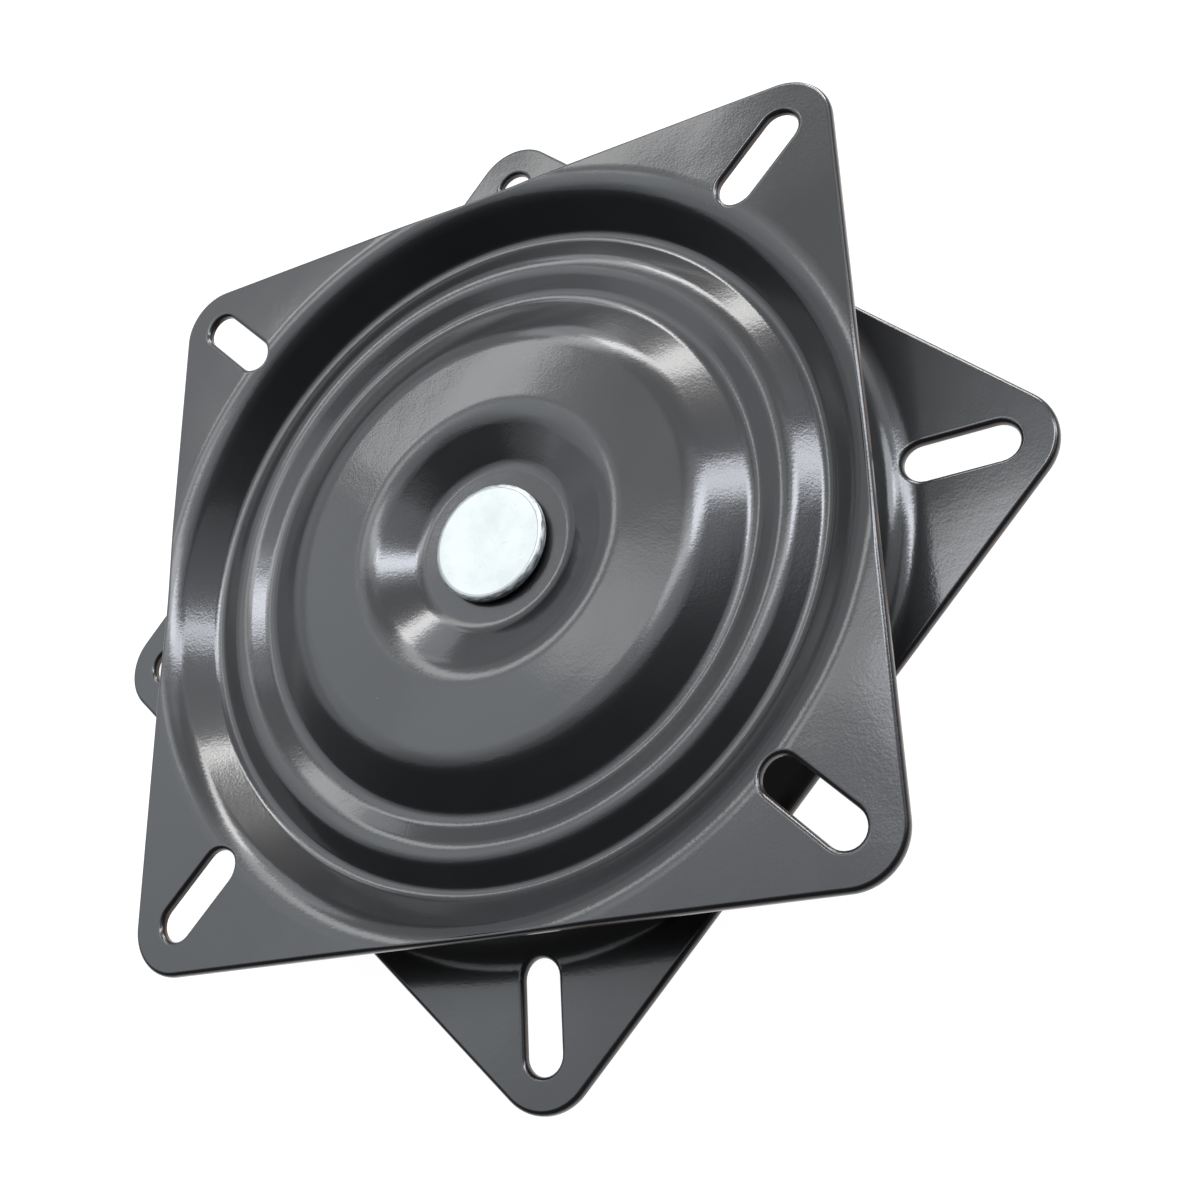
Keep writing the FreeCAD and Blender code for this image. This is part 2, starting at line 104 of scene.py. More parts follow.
# Rivet, with a washer under its head and another under its tail
HEAD_RADIUS = 0.0139
HEAD_HEIGHT = 0.0024
HEAD_ROUND = 0.0011
HEAD_UNDER_ROUND = 0.0009
HEAD_FACE_RADIUS = HEAD_RADIUS - HEAD_ROUND
# Width of the line of painted shade round the edge of the head's face: its darkest core and its full
# reach
SHADE_LINE_CORE = 0.00005
SHADE_LINE_REACH = 0.00015
SIDE_START = 0.0003
SIDE_FULL = 0.0009
SHANK_RADIUS = 0.006
TAIL_RADIUS = 0.009
TAIL_HEIGHT = 0.0032
TAIL_ROUND = 0.0022
HEAD_WASHER_THICKNESS = 0.0005
TAIL_WASHER_THICKNESS = 0.0016
HEAD_UNDERSIDE = OVERALL_HEIGHT - FLOOR_DEPTH + HEAD_WASHER_THICKNESS
TAIL_START = FLOOR_DEPTH - TAIL_WASHER_THICKNESS

# Fineness of the meshes
BEND_STEPS = 10
LOOKUP_STEPS = 80
PLATE_TURN_STEPS = 288
HOLE_STEPS = 96
RIVET_STEPS = 180
ROUND_STEPS = 8
EDGE_STEPS = 5
EDGE_SPACING = 0.0012
LEAST_ARC_POINTS = 6
EXTRA_ARC_POINTS = 4
FLOOR_RINGS = 3
FLOOR_RING_GAP = 0.002
FLAT_RING_SPACING = 0.004
EDGE_GAP = 0.0004
RIM_SLACK = 0.98
AXIS_GAP = 0.00001


# Nodes and materials


class Nodes:
    """A material's node tree, with short ways to add and join nodes."""

    def __init__(self, material):
        self.tree = material.node_tree
        self.surface = next(node for node in self.tree.nodes if node.type == "BSDF_PRINCIPLED")

    def add(self, kind, inputs=None, **settings):
        node = self.tree.nodes.new(kind)
        for name, value in settings.items():
            setattr(node, name, value)
        for name, value in (inputs or {}).items():
            self.put(node.inputs[name], value)
        return node

    def put(self, socket, value):
        if isinstance(value, bpy.types.NodeSocket):
            self.tree.links.new(value, socket)
        else:
            socket.default_value = value

    def place(self):
        return self.add("ShaderNodeTexCoord").outputs["Object"]

    def noise(self, scale, detail=2.0, roughness=0.5, where=None):
        inputs = {"Scale": scale, "Detail": detail, "Roughness": roughness}
        inputs["Vector"] = where or self.place()
        return self.add("ShaderNodeTexNoise", inputs).outputs["Fac"]

    def cells(self, scale, where=None):
        inputs = {"Scale": scale, "Vector": where or self.place()}
        return self.add("ShaderNodeTexVoronoi", inputs).outputs["Distance"]

    def spread(self, value, low, high, to_low, to_high):
        """The value carried from one range to another, and held at its ends."""
        inputs = {"Value": value, "From Min": low, "From Max": high, "To Min": to_low, "To Max": to_high}
        return self.add("ShaderNodeMapRange", inputs, clamp=True).outputs["Result"]

    def sum(self, first, second, operation="ADD"):
        node = self.add("ShaderNodeMath", operation=operation)
        self.put(node.inputs[0], first)
        self.put(node.inputs[1], second)
        return node.outputs["Value"]

    def blend(self, share, first, second):
        node = self.add("ShaderNodeMix", data_type="RGBA")
        self.put(node.inputs["Factor"], share)
        self.put(node.inputs[6], first)
        self.put(node.inputs[7], second)
        return node.outputs[2]

    def attribute(self, name):
        return self.add("ShaderNodeAttribute", attribute_name=name).outputs["Fac"]

    def bump(self, height, distance, strength, under=None):
        inputs = {"Height": height, "Distance": distance, "Strength": strength}
        if under:
            inputs["Normal"] = under
        return self.add("ShaderNodeBump", inputs).outputs["Normal"]


def new_material(name, metallic, ior=1.5):
    material = bpy.data.materials.new(name)
    material.use_nodes = True
    nodes = Nodes(material)
    nodes.surface.inputs["Metallic"].default_value = metallic
    nodes.surface.inputs["IOR"].default_value = ior
    return material, nodes


DEEP_BLACK = (0.002, 0.002, 0.0026, 1.0)
HAZY_BLACK = (0.0035, 0.0035, 0.0042, 1.0)
RUBBED_BROWN = (0.06, 0.028, 0.016, 1.0)
DUST_GREY = (0.3, 0.3, 0.3, 1.0)


def black_paint():
    """Thick glossy black with orange peel, thin and brownish over the cut edges, lightly dusty."""
    material, nodes = new_material("black_paint", 0.0)
    haze = nodes.noise(35.0, detail=4.0, roughness=0.6)
    specks = nodes.spread(nodes.cells(500.0), 0.03, 0.05, 1.0, 0.0)
    few = nodes.spread(nodes.noise(55.0, detail=2.0), 0.66, 0.72, 0.0, 0.8)
    dust = nodes.sum(specks, few, "MULTIPLY")
    wear = nodes.attribute("edge_wear")
    on_cut = nodes.spread(wear, 0.6, 0.95, 0.0, 1.0)
    patchy = nodes.spread(nodes.noise(160.0, detail=3.0), 0.4, 0.62, 0.1, 1.0)
    black = nodes.blend(haze, DEEP_BLACK, HAZY_BLACK)
    worn = nodes.blend(nodes.sum(on_cut, patchy, "MULTIPLY"), black, RUBBED_BROWN)
    nodes.put(nodes.surface.inputs["Base Color"], nodes.blend(dust, worn, DUST_GREY))
    gloss = nodes.spread(haze, 0.3, 0.7, 0.38, 0.46)
    nodes.put(nodes.surface.inputs["Roughness"], nodes.sum(gloss, nodes.sum(dust, 0.5, "MULTIPLY")))
    nodes.surface.inputs["Specular IOR Level"].default_value = 0.17
    nodes.surface.inputs["Coat Weight"].default_value = 0.65
    nodes.surface.inputs["Coat Roughness"].default_value = 0.135
    nodes.surface.inputs["Coat IOR"].default_value = 1.5
    # From the sheet's own waviness down to the orange peel
    wavy = nodes.bump(nodes.noise(16.0, detail=1.0), 0.002, 0.8)
    swollen = nodes.bump(nodes.noise(70.0, detail=1.0), 0.0002, 0.5, wavy)
    grainy = nodes.bump(nodes.noise(480.0, detail=1.5), 0.00004, 0.26, swollen)
    peeled = nodes.bump(nodes.noise(1700.0, detail=1.5), 0.00003, 0.45, grainy)
    nodes.put(nodes.surface.inputs["Normal"], peeled)
    nodes.put(nodes.surface.inputs["Coat Normal"], peeled)
    return material


FACE_SHADE = (0.219, 0.234, 0.231, 1.0)
FACE_LIGHT = (0.292, 0.306, 0.3, 1.0)
# Painted shade: the thin dark line round the edge of the head's face
PAINTED_SHADE_GREY = (0.03, 0.032, 0.035, 1.0)
# Painted light: the side of the head, lighter on the whole than the face, streaked dark and light
PAINTED_LIT_SIDE_DARK = (0.16, 0.175, 0.18, 1.0)
PAINTED_LIT_SIDE_LIGHT = (0.62, 0.64, 0.64, 1.0)


def zinc_plate():
    """Bright zinc with a fine mottle, and duller streaks round the forged side of the head, whose colour
    is painted lighter than the face as painted light on the side.
    """
    material, nodes = new_material("zinc_plate", 1.0)
    mottle = nodes.noise(420.0, detail=5.0, roughness=0.65)
    cloud = nodes.noise(90.0, detail=2.0)
    tone = nodes.spread(nodes.sum(mottle, cloud), 0.75, 1.25, 0.0, 1.0)
    face = nodes.blend(tone, FACE_SHADE, FACE_LIGHT)

    # The face ends in a thin line of painted shade, darker round its edge, and the side starts a little
    # further out
    place = nodes.add("ShaderNodeSeparateXYZ", {"Vector": nodes.place()})
    x, y, z = place.outputs["X"], place.outputs["Y"], place.outputs["Z"]
    plan = nodes.add("ShaderNodeCombineXYZ", {"X": x, "Y": y})
    length = nodes.add("ShaderNodeVectorMath", {0: plan.outputs["Vector"]}, operation="LENGTH")
    reach = length.outputs["Value"]
    past_face = nodes.sum(reach, HEAD_FACE_RADIUS, "SUBTRACT")
    shade_line_start = nodes.spread(past_face, -SHADE_LINE_REACH, -SHADE_LINE_CORE, 0.0, 1.0)
    shade_line_end = nodes.spread(past_face, SHADE_LINE_CORE, SHADE_LINE_REACH, 1.0, 0.0)
    painted_shade_line = nodes.sum(shade_line_start, shade_line_end, "MULTIPLY")
    face_with_painted_shade = nodes.blend(nodes.sum(painted_shade_line, 0.5, "MULTIPLY"), face, PAINTED_SHADE_GREY)
    side = nodes.spread(past_face, SIDE_START, SIDE_FULL, 0.0, 1.0)

    # Noise that is drawn out in plan and not in height runs round the side as streaks
    drawn_x, drawn_y = nodes.sum(x, 0.15, "MULTIPLY"), nodes.sum(y, 0.15, "MULTIPLY")
    drawn = nodes.add("ShaderNodeCombineXYZ", {"X": drawn_x, "Y": drawn_y, "Z": z})
    streaks = nodes.noise(3200.0, detail=2.0, where=drawn.outputs["Vector"])
    # The side's colour is painted light: lighter on the whole than the face, as light falling on the
    # side, and streaked round the forging
    painted_lit_side = nodes.blend(nodes.spread(streaks, 0.35, 0.65, 0.0, 1.0), PAINTED_LIT_SIDE_DARK, PAINTED_LIT_SIDE_LIGHT)
    nodes.put(nodes.surface.inputs["Base Color"], nodes.blend(side, face_with_painted_shade, painted_lit_side))

    gloss = nodes.spread(mottle, 0.3, 0.7, 0.24, 0.46)
    nodes.put(nodes.surface.inputs["Roughness"], nodes.sum(gloss, nodes.sum(side, 0.42, "MULTIPLY")))
    mottled = nodes.bump(mottle, 0.00006, 0.4)
    streaky = nodes.bump(nodes.sum(streaks, side, "MULTIPLY"), 0.00004, 0.8, mottled)
    nodes.put(nodes.surface.inputs["Normal"], streaky)
    return material


def ball_steel():
    """Polished balls with a trace of grease."""
    material, nodes = new_material("ball_steel", 1.0)
    film = nodes.noise(300.0, detail=3.0)
    colour = nodes.blend(film, (0.62, 0.61, 0.58, 1.0), (0.80, 0.80, 0.81, 1.0))
    nodes.put(nodes.surface.inputs["Base Color"], colour)
    nodes.put(nodes.surface.inputs["Roughness"], nodes.spread(film, 0.35, 0.7, 0.08, 0.24))
    return material


def nylon():
    """Natural nylon, slightly uneven in colour."""
    material, nodes = new_material("nylon", 0.0, ior=1.53)
    cloud = nodes.noise(120.0, detail=4.0)
    colour = nodes.blend(cloud, (0.70, 0.68, 0.62, 1.0), (0.80, 0.79, 0.75, 1.0))
    nodes.put(nodes.surface.inputs["Base Color"], colour)
    nodes.put(nodes.surface.inputs["Roughness"], nodes.spread(cloud, 0.3, 0.7, 0.38, 0.52))
    nodes.put(nodes.surface.inputs["Normal"], nodes.bump(nodes.noise(1500.0), 0.00004, 0.3))
    nodes.surface.inputs["Subsurface Weight"].default_value = 0.1
    return material


def floor_white():
    """Matt white paper."""
    material, nodes = new_material("floor_white", 0.0)
    nodes.surface.inputs["Base Color"].default_value = (0.14, 0.14, 0.14, 1.0)
    nodes.surface.inputs["Roughness"].default_value = 0.9
    nodes.surface.inputs["Specular IOR Level"].default_value = 0.1
    nodes.surface.inputs["Emission Color"].default_value = (1.0, 1.0, 1.0, 1.0)
    nodes.surface.inputs["Emission Strength"].default_value = 0.97
    return material


# Meshes


def smooth_object(name, points, faces, normals, material):
    """A smooth mesh that is shaded with the normals given."""
    mesh = bpy.data.meshes.new(name)
    mesh.from_pydata([tuple(point) for point in points], [], faces)
    mesh.polygons.foreach_set("use_smooth", [True] * len(mesh.polygons))
    mesh.normals_split_custom_set_from_vertices([tuple(normal) for normal in normals])
    mesh.materials.append(material)
    piece = bpy.data.objects.new(name, mesh)
    bpy.context.scene.collection.objects.link(piece)
    return piece


# Section of the sheet


def slope_between(first, second):
    """Angle of the straight flank that touches two bends, each a centre and a signed radius."""
    (x1, z1, r1), (x2, z2, r2) = first, second
    reach = math.hypot(x2 - x1, z2 - z1)
    return math.atan2(z2 - z1, x2 - x1) - math.asin((r1 - r2) / reach)


def sheet_face(inner_side, bend_steps):
    """Radius, height and slope angle along one face of the sheet, from its first bend outwards."""
    bends = []
    for radius, depth, fold, way in PRESSING_BENDS:
        sign = 1 if way == "hump" else -1
        outer = sign * (fold + THICKNESS if way == "hump" else fold)
        bends.append((radius, -depth - outer, outer - THICKNESS if inner_side else outer))
    slopes = [0.0] + [slope_between(a, b) for a, b in zip(bends, bends[1:])] + [0.0]
    rings = []
    for (x, z, radius), before, after in zip(bends, slopes, slopes[1:]):
        for angle in np.linspace(before, after, bend_steps + 1):
            rings.append((x - radius * math.sin(angle), z + radius * math.cos(angle), angle))
    return np.array(rings).T


class SheetFace:
    """Heights and normals of one face of the pressing, for any point in plan."""

    def __init__(self, inner_side):
        self.side = -1.0 if inner_side else 1.0
        self.radii, self.heights, self.angles = sheet_face(inner_side, LOOKUP_STEPS)
        self.rings = sheet_face(inner_side, BEND_STEPS)[0]

    def lift(self, plan):
        radius = np.hypot(plan[:, 0], plan[:, 1])
        height = np.interp(radius, self.radii, self.heights)
        return np.column_stack([plan, height])

    def normals(self, plan):
        radius = np.maximum(np.hypot(plan[:, 0], plan[:, 1]), 1e-9)
        angle = np.interp(radius, self.radii, self.angles)
        outward = plan / radius[:, None]
        return self.side * np.column_stack([-outward * np.sin(angle)[:, None], np.cos(angle)])


# Outlines in plan. Each is a loop of points with the directions that leave the metal there.


HALF_DIAGONAL = PLATE_SIDE / math.sqrt(2)
CORNER_CENTRE = HALF_DIAGONAL - CORNER_RADIUS * math.sqrt(2)
SLOT_OUTER_CENTRE = CORNER_CENTRE + CORNER_RADIUS - SLOT_MARGIN - SLOT_WIDTH / 2
SLOT_INNER_CENTRE = SLOT_OUTER_CENTRE - (SLOT_LENGTH - SLOT_WIDTH)


def directions(angles):
    return np.column_stack([np.cos(angles), np.sin(angles)])


def points_between(first, second):
    """How many points a straight side has between its ends."""
    return max(1, round(float(np.linalg.norm(second - first)) / EDGE_SPACING)) - 1


def arc_points(radius, sweep):
    """How many points an arc has, its ends among them."""
    return max(LEAST_ARC_POINTS, round(radius * sweep / EDGE_SPACING) + EXTRA_ARC_POINTS)


def joined_arcs(arcs, inset_way, inset):
    """A loop of arcs joined by straight sides. Each arc is a centre, a radius and two angles.

    The loop is moved by the inset, and keeps as many points as it has with none.
    """
    points, ways = [], []
    for index, (centre, radius, start, end) in enumerate(arcs):
        rim = radius + inset_way * inset
        angles = np.linspace(start, end, arc_points(radius, abs(end - start)))
        points.append(centre + rim * directions(angles))
        ways.append(-inset_way * directions(angles))
        next_centre, next_radius, next_start, _ = arcs[(index + 1) % len(arcs)]
        next_rim = next_radius + inset_way * inset
        this_way, next_way = directions(angles)[-1], directions(np.array([next_start]))[0]
        count = points_between(centre + radius * this_way, next_centre + next_radius * next_way)
        first, second = centre + rim * this_way, next_centre + next_rim * next_way
        points.append(np.linspace(first, second, count + 2)[1:-1])
        ways.append(np.repeat([ways[-1][-1]], count, axis=0))
    return np.vstack(points), np.vstack(ways)


def outline_loop(inset):
    quarter = math.pi / 4
    arcs = []
    for corner in range(4):
        angle = corner * math.pi / 2
        centre = CORNER_CENTRE * directions(np.array([angle]))[0]
        arcs.append((centre, CORNER_RADIUS, angle - quarter, angle + quarter))
    return joined_arcs(arcs, -1, inset)


def slot_loop(corner, inset):
    angle = corner * math.pi / 2
    way = directions(np.array([angle]))[0]
    half_turn = math.pi / 2
    arcs = [
        (SLOT_OUTER_CENTRE * way, SLOT_WIDTH / 2, angle - half_turn, angle + half_turn),
        (SLOT_INNER_CENTRE * way, SLOT_WIDTH / 2, angle + half_turn, angle + 3 * half_turn),
    ]
    return joined_arcs(arcs, 1, inset)


def hole_loop(inset):
    angles = np.linspace(0, 2 * math.pi, HOLE_STEPS, endpoint=False)
    return (RIVET_HOLE_RADIUS + inset) * directions(angles), -directions(angles)


def all_loops(inset):
    return [outline_loop(inset)] + [slot_loop(corner, inset) for corner in range(4)] + [hole_loop(inset)]


def inside_metal(plan, margin):
    """Which points lie in the metal, at least a margin from every edge."""
    x, y = np.abs(plan[:, 0]), np.abs(plan[:, 1])
    across = (x + y) / math.sqrt(2)
    inside = across < PLATE_SIDE / 2 - margin
    for long_way, short_way in ((x, y), (y, x)):
        past = long_way - CORNER_CENTRE
        beyond = (past > 0) & (short_way < past)
        inside &= ~beyond | (np.hypot(past, short_way) < CORNER_RADIUS - margin)
        off_middle = np.maximum(np.maximum(long_way - SLOT_OUTER_CENTRE, SLOT_INNER_CENTRE - long_way), 0)
        inside &= np.hypot(off_middle, short_way) > SLOT_WIDTH / 2 + margin
    return inside & (np.hypot(x, y) > RIVET_HOLE_RADIUS + margin)


def face_triangles(face, loops, edge_round):
    """Points in plan and triangles of one face between its edge loops."""
    fixed = np.vstack([points for points, _ in loops])
    edges, start = [], 0
    for points, _ in loops:
        count = len(points)
        edges += [(start + i, start + (i + 1) % count) for i in range(count)]
        start += count
    flat_rings = np.arange(RIM_RADIUS + FLAT_RING_SPACING, HALF_DIAGONAL, FLAT_RING_SPACING)
    first_ring = RIVET_HOLE_RADIUS + FLOOR_RING_GAP
    floor_rings = np.linspace(first_ring, face.rings[0], FLOOR_RINGS + 1)[:-1]
    radii = np.concatenate([floor_rings, face.rings, flat_rings])
    angles = np.linspace(0, 2 * math.pi, PLATE_TURN_STEPS, endpoint=False)
    grid = (radii[:, None, None] * directions(angles)[None, :, :]).reshape(-1, 2)
    grid = grid[inside_metal(grid, edge_round + EDGE_GAP)]
    plan = np.vstack([fixed, grid])
    result = geometry.delaunay_2d_cdt([Vector(point) for point in plan], edges, [], 0, 1e-9)
    plan = np.array([tuple(point) for point in result[0]])
    triangles = np.array([tuple(triangle) for triangle in result[2]])
    # A sliver along a curved rim has its middle a hair outside the true curve
    middles = plan[triangles].mean(axis=1)
    triangles = triangles[inside_metal(middles, edge_round * RIM_SLACK)]
    moved = {source: index for index, sources in enumerate(result[3]) for source in sources}
    return plan, triangles, [moved[i] for i in range(len(fixed))]


def pressed_plate_mesh(outer_edge, inner_edge):
    """Points, faces, normals and edge wear of one plate in its own frame, its corners on X and Y."""
    points, normals, wear, faces = [], [], [], []

    def add_points(new_points, new_normals, amount):
        start = len(points)
        points.extend(new_points)
        normals.extend(new_normals)
        wear.extend([amount] * len(new_points))
        return start

    outer, inner = SheetFace(False), SheetFace(True)
    edge_rings = {}
    for face, inward, edge_round in ((outer, -1.0, outer_edge), (inner, 1.0, inner_edge)):
        plan, triangles, rim = face_triangles(face, all_loops(edge_round), edge_round)
        start = add_points(face.lift(plan), face.normals(plan), 0.0)
        if inward > 0:
            triangles = triangles[:, ::-1]
        faces.extend((triangles + start).tolist())
        rings = [[start + index for index in rim]]
        for step in range(1, EDGE_STEPS + 1):
            angle = step / EDGE_STEPS * math.pi / 2
            loops = all_loops(edge_round * (1 - math.sin(angle)))
            plan = np.vstack([loop for loop, _ in loops])
            ways = np.vstack([way for _, way in loops])
            lifted = face.lift(plan)
            lifted[:, 2] += inward * edge_round * (1 - math.cos(angle))
            leaving = np.column_stack([ways, np.zeros(len(ways))])
            turned = math.cos(angle) * face.normals(plan) + math.sin(angle) * leaving
            first = add_points(lifted, turned, step / EDGE_STEPS)
            rings.append(list(range(first, first + len(plan))))
        edge_rings[inward] = rings

    ring_stack = edge_rings[-1.0] + edge_rings[1.0][::-1]
    sizes = [len(loop) for loop, _ in all_loops(0.0)]
    for upper, lower in zip(ring_stack, ring_stack[1:]):
        start = 0
        for loop, count in enumerate(sizes):
            for i in range(count):
                a, b = start + i, start + (i + 1) % count
                # The first loop is the outline; the others are openings, whose walls face inwards
                if loop > 0:
                    a, b = b, a
                faces.append((upper[a], lower[a], lower[b], upper[b]))
            start += count
    return np.array(points), faces, np.array(normals), wear


def place_plate(name, node, body, shape, placement, material):
    points, faces, normals, wear = shape
    turn = np.array(placement.to_3x3())
    moved = points @ turn.T + np.array(placement.translation)
    piece = smooth_object(name, moved, faces, normals @ turn.T, material)
    attribute = piece.data.attributes.new("edge_wear", "FLOAT", "POINT")
    attribute.data.foreach_set("value", wear)
    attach(piece, body)
    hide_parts(node)
    return piece


# Turned pieces


def turned_object(name, corners, material):
    """A turned piece from its half section, anticlockwise: radius, height and round of each corner."""
    count = len(corners)
    spots = [np.array(corner[:2]) for corner in corners]
    sides = [(spots[(i + 1) % count] - spots[i]) for i in range(count)]
    sides = [side / np.linalg.norm(side) for side in sides]
    ring_points, ring_normals, ring_breaks = [], [], []
    for index, (_, _, rounding) in enumerate(corners):
        before, after = sides[index - 1], sides[index]
        normal_in = np.array([before[1], -before[0]])
        normal_out = np.array([after[1], -after[0]])
        if rounding:
            middle = spots[index] - before * rounding + after * rounding
            swing = math.atan2(before[0] * after[1] - before[1] * after[0], float(before @ after))
            way = 1.0 if swing > 0 else -1.0
            for share in np.linspace(0, 1, ROUND_STEPS + 1):
                angle = share * swing
                c, s = math.cos(angle), math.sin(angle)
                normal = np.array([[c, -s], [s, c]]) @ normal_in
                ring_points.append(middle + way * rounding * normal)
                ring_normals.append(normal)
                ring_breaks.append(False)
        else:
            ring_points += [spots[index], spots[index]]
            ring_normals += [normal_in, normal_out]
            ring_breaks += [True, False]

    around = directions(np.linspace(0, 2 * math.pi, RIVET_STEPS, endpoint=False))
    points, normals, faces = [], [], []
    for (radius, height), normal in zip(ring_points, ring_normals):
        # A ring on the axis stays just open, so that none of its faces collapses
        radius = max(radius, AXIS_GAP)
        points.append(np.column_stack([around * radius, np.full(RIVET_STEPS, height)]))
        normals.append(np.column_stack([around * normal[0], np.full(RIVET_STEPS, normal[1])]))
    rings = len(ring_points)
    for ring in range(rings):
        if ring_breaks[ring]:
            continue
        following = (ring + 1) % rings
        if ring_points[ring][0] < AXIS_GAP and ring_points[following][0] < AXIS_GAP:
            continue
        a, b = ring * RIVET_STEPS, following * RIVET_STEPS
        for i in range(RIVET_STEPS):
            j = (i + 1) % RIVET_STEPS
            faces.append((a + i, a + j, b + j, b + i))
    return smooth_object(name, np.vstack(points), faces, np.vstack(normals), material)


# The object

paint = black_paint()
zinc = zinc_plate()
steel = ball_steel()
plastic = nylon()

upper_shape = pressed_plate_mesh(ROLLED_EDGE, SHARP_EDGE)
lower_shape = pressed_plate_mesh(SHARP_EDGE, ROLLED_EDGE)
upper_placement = Matrix.Translation((0, 0, OVERALL_HEIGHT)) @ Matrix.Rotation(REST_TURN, 4, "Z")
lower_placement = Matrix.Rotation(math.pi, 4, "X")
place_plate("upper_pressed_plate", "top_plate", "top", upper_shape, upper_placement, paint)
place_plate("lower_pressed_plate", "bottom_plate", "base", lower_shape, lower_placement, paint)

rivet = turned_object(
    "rivet",
    [
        (0.0, TAIL_START - TAIL_HEIGHT, 0.0),
        (TAIL_RADIUS, TAIL_START - TAIL_HEIGHT, TAIL_ROUND),
        (TAIL_RADIUS, TAIL_START, 0.0),
        (SHANK_RADIUS, TAIL_START, 0.0),
        (SHANK_RADIUS, HEAD_UNDERSIDE, 0.0),
        (HEAD_RADIUS, HEAD_UNDERSIDE, HEAD_UNDER_ROUND),
        (HEAD_RADIUS, HEAD_UNDERSIDE + HEAD_HEIGHT, HEAD_ROUND),
        (0.0, HEAD_UNDERSIDE + HEAD_HEIGHT, 0.0),
    ],
    zinc,
)
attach(rivet, "base")
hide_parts("centre_rivet")

# The pieces that keep their CAD shape
NODE_LOOKS = {"head_washer": zinc, "tail_washer": zinc, "spacer_washer": plastic, "ball_cage": plastic}
for node_name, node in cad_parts.items():
    look = NODE_LOOKS.get(node_name)
    if not look and node_name.startswith("ball_"):
        look = steel
    if look:
        node.data.materials.clear()
        node.data.materials.append(look)

# Floor, light and camera

FLOOR_SIZE = 40.0
FLOOR_DROP = 0.0001
floor_mesh = bpy.data.meshes.new("floor")
half = FLOOR_SIZE / 2
floor_corners = [(-half, -half, 0), (half, -half, 0), (half, half, 0), (-half, half, 0)]
floor_mesh.from_pydata(floor_corners, [], [(0, 1, 2, 3)])
floor_mesh.materials.append(floor_white())
floor = bpy.data.objects.new("floor", floor_mesh)
floor.location.z = -FLOOR_DROP
bpy.context.scene.collection.objects.link(floor)


def toward(azimuth, elevation):
    """Unit vector in a direction given in degrees."""
    a, e = math.radians(azimuth), math.radians(elevation)
    return Vector((math.cos(e) * math.cos(a), math.cos(e) * math.sin(a), math.sin(e)))


# Lamps, placed as seen from the object in degrees, each with a brightness where 1 is the white of the
# picture. A strip runs between two directions, each an azimuth and an elevation, and has a half width.
LIGHT_DISTANCE = 1.6
COOL_WHITE = (0.89, 0.92, 1.0)
NEUTRAL_WHITE = (1.0, 0.99, 0.98)
PALE_WHITE = (0.9, 0.95, 1.0)
STRIPS = {
    "near_strip_left": ((118.0, 71.0), (55.0, 64.0), 3.6, 6.0, COOL_WHITE),
    "near_strip_middle": ((70.0, 66.0), (45.5, 50.5), 3.9, 22.0, COOL_WHITE),
    "near_strip_right": ((41.0, 46.0), (28.0, 34.0), 2.6, 20.0, COOL_WHITE),
    "upper_strip": ((134.0, 60.5), (92.0, 69.0), 4.6, 4.1, NEUTRAL_WHITE),
    "far_strip_left": ((133.5, 44.0), (102.0, 39.7), 3.8, 7.2, NEUTRAL_WHITE),
    "far_strip_right": ((95.0, 36.0), (66.0, 28.0), 3.4, 20.0, NEUTRAL_WHITE),
    "low_window": ((64.0, 20.0), (80.0, 9.0), 4.0, 30.0, NEUTRAL_WHITE),
}
# A soft box is round: azimuth, elevation and half width.
SOFT_BOXES = {
    "left_box": (167.0, 52.0, 20.0, 1.1),
    "left_wall": (153.0, 41.0, 26.0, 0.6),
    "left_low_wall": (143.0, 32.0, 32.0, 0.9),
    "ceiling_box": (132.0, 62.0, 25.0, 0.4),
    "top_box": (108.0, 82.0, 16.0, 1.1),
    "right_wall": (16.0, 39.0, 16.0, 1.1),
    "right_window": (28.0, 27.0, 10.0, 10.0),
    "far_wall": (99.0, 30.0, 12.0, 3.0),
    "strip_glow": (62.0, 72.0, 18.0, 1.5),
    "left_upper_box": (166.0, 69.0, 18.0, 0.8),
    "far_right_wall": (51.0, 34.0, 10.0, 1.3),
}


def lamp(name, direction, shape, size, size_y, area, brightness, roll, colour):
    """An area lamp that faces the object from a direction, turned about its own axis by a roll."""
    light = bpy.data.lights.new(name, "AREA")
    light.shape = shape
    light.size = size
    if shape == "RECTANGLE":
        light.size_y = size_y
    light.energy = brightness * math.pi * area
    light.color = colour
    holder = bpy.data.objects.new(name, light)
    holder.location = direction * LIGHT_DISTANCE
    facing = (-direction).to_track_quat("-Z", "Y").to_matrix()
    holder.rotation_euler = (facing @ Matrix.Rotation(roll, 3, "Z")).to_euler()
    bpy.context.scene.collection.objects.link(holder)


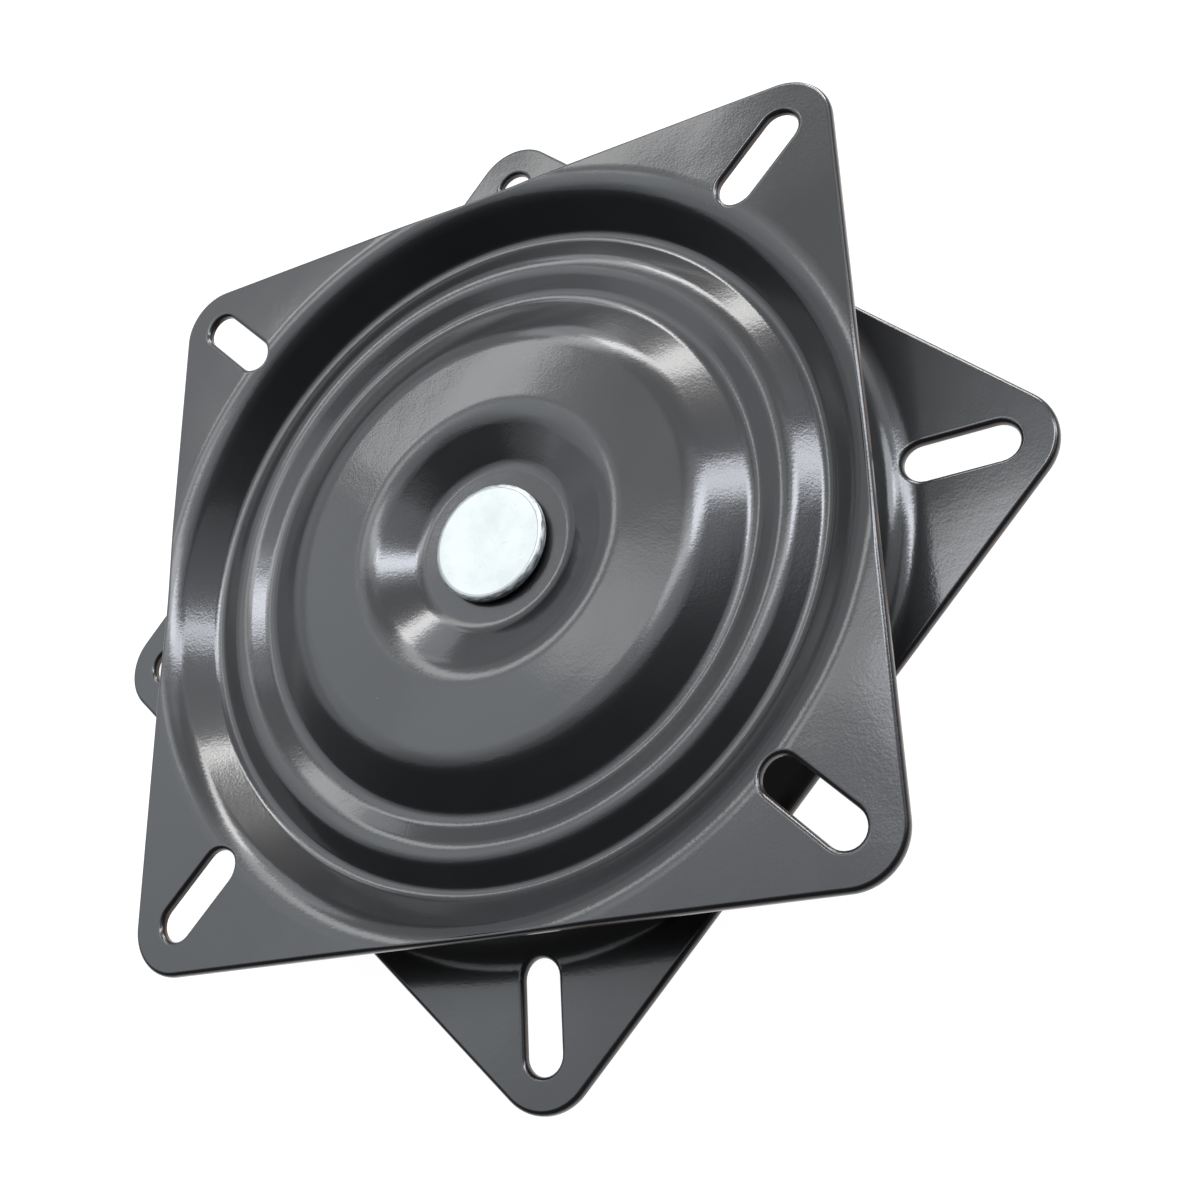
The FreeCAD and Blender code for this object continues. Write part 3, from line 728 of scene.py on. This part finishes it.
def soft_box(name, azimuth, elevation, half_width, brightness):
    width = 2 * LIGHT_DISTANCE * math.tan(math.radians(half_width))
    area = math.pi * width**2 / 4
    lamp(name, toward(azimuth, elevation), "DISK", width, width, area, brightness, 0.0, PALE_WHITE)


def strip_light(name, start, end, half_width, brightness, colour):
    first, last = toward(*start), toward(*end)
    direction = (first + last).normalized()
    length = 2 * LIGHT_DISTANCE * math.tan(first.angle(last) / 2)
    width = 2 * LIGHT_DISTANCE * math.tan(math.radians(half_width))
    facing = (-direction).to_track_quat("-Z", "Y").to_matrix()
    run = facing.transposed() @ (last - first)
    roll = math.atan2(run.y, run.x)
    size = length + width
    lamp(name, direction, "RECTANGLE", size, width, size * width, brightness, roll, colour)


for strip_name, strip in STRIPS.items():
    strip_light(strip_name, *strip)
for box_name, box in SOFT_BOXES.items():
    soft_box(box_name, *box)

world = bpy.data.worlds.new("studio")
world.use_nodes = True
room = world.node_tree.nodes["Background"]
room.inputs["Color"].default_value = (0.94, 0.97, 1.0, 1.0)
room.inputs["Strength"].default_value = 0.12
bpy.context.scene.world = world
bpy.context.scene.view_settings.view_transform = "Standard"

CAMERA_AZIMUTH = -43.706
CAMERA_ELEVATION = 49.855
CAMERA_DISTANCE = 0.32979
AIM_POINT = Vector((0.02057, -0.02622, OVERALL_HEIGHT))
CAMERA_ROLL = -56.002
FOCAL_LENGTH = 45.094
SHIFT_X = 0.0333
SHIFT_Y = 0.0167

camera_data = bpy.data.cameras.new("camera")
camera_data.lens = FOCAL_LENGTH
camera_data.sensor_width = 36.0
camera_data.shift_x = SHIFT_X
camera_data.shift_y = SHIFT_Y
camera_data.clip_start = 0.01
camera = bpy.data.objects.new("camera", camera_data)
plate_centre = Vector((0, 0, OVERALL_HEIGHT))
camera.location = plate_centre + toward(CAMERA_AZIMUTH, CAMERA_ELEVATION) * CAMERA_DISTANCE
level_view = (AIM_POINT - camera.location).to_track_quat("-Z", "Y").to_matrix()
camera.rotation_euler = (level_view @ Matrix.Rotation(math.radians(CAMERA_ROLL), 3, "Z")).to_euler()
bpy.context.scene.collection.objects.link(camera)
bpy.context.scene.camera = camera
